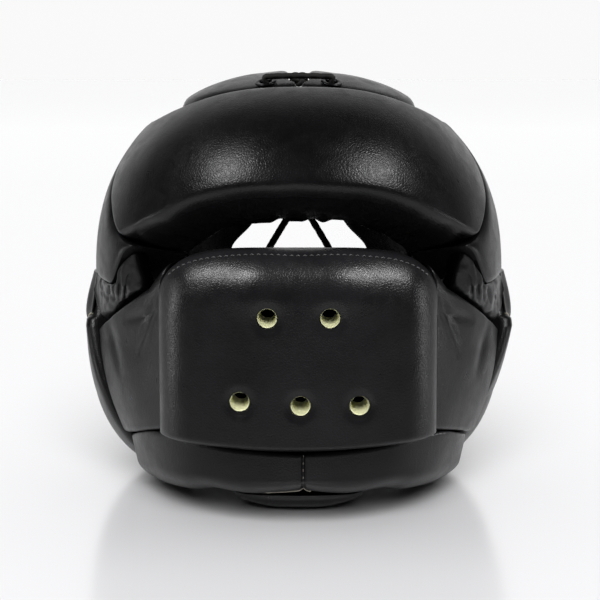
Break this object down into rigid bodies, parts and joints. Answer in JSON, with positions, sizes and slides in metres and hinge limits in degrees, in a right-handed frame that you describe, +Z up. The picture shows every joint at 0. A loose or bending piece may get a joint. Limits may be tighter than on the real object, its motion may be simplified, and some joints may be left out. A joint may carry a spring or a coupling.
{
  "type": "full face boxing headgear",
  "caption": "Padded leather sparring headgear with a full face bar, brow and cheek pads, vents and laced crown and back openings; it shields the head.",
  "frame": {"origin": "on the floor under the middle of the part's box", "axes": "+X to the wearer's left, which is on the right in a front view, -Y out of the face, +Z up"},
  "size_m": [0.2519, 0.2454, 0.2346],
  "materials": {
    "black_leather": "semi-gloss grained",
    "strap_leather": "satin, pale raw edge",
    "cream_foam": "matte cut foam",
    "lace_cord": "matte woven",
    "eyelet_metal": "dark satin"
  },
  "bodies": {
    "root": {"brow_pad": "black_leather", "chin_pad": "black_leather", "chin_cup": "black_leather", "face_bar": "black_leather", "temple_pad_left": "black_leather", "temple_pad_right": "black_leather", "eye_corner_left": "black_leather", "eye_corner_right": "black_leather", "ear_pad_left": "black_leather", "ear_pad_right": "black_leather", "cheek_wing_left": "black_leather", "cheek_wing_right": "black_leather", "rear_wing_left": "black_leather", "rear_wing_right": "black_leather", "crown_flap_left": "black_leather", "crown_flap_right": "black_leather", "side_strap_left": "strap_leather", "side_strap_right": "strap_leather", "vent_liner_1": "cream_foam", "vent_liner_2": "cream_foam", "vent_liner_3": "cream_foam", "vent_liner_4": "cream_foam", "vent_liner_5": "cream_foam", "back_eyelet_top_left": "eyelet_metal", "back_eyelet_middle_left": "eyelet_metal", "back_eyelet_low_left": "eyelet_metal", "crown_eyelet_front_left": "eyelet_metal", "crown_eyelet_rear_left": "eyelet_metal", "back_eyelet_top_right": "eyelet_metal", "back_eyelet_middle_right": "eyelet_metal", "back_eyelet_low_right": "eyelet_metal", "crown_eyelet_front_right": "eyelet_metal", "crown_eyelet_rear_right": "eyelet_metal", "back_lace": "lace_cord", "back_knot": "lace_cord", "crown_lace": "lace_cord", "crown_knot": "lace_cord"}
  },
  "joints": []
}
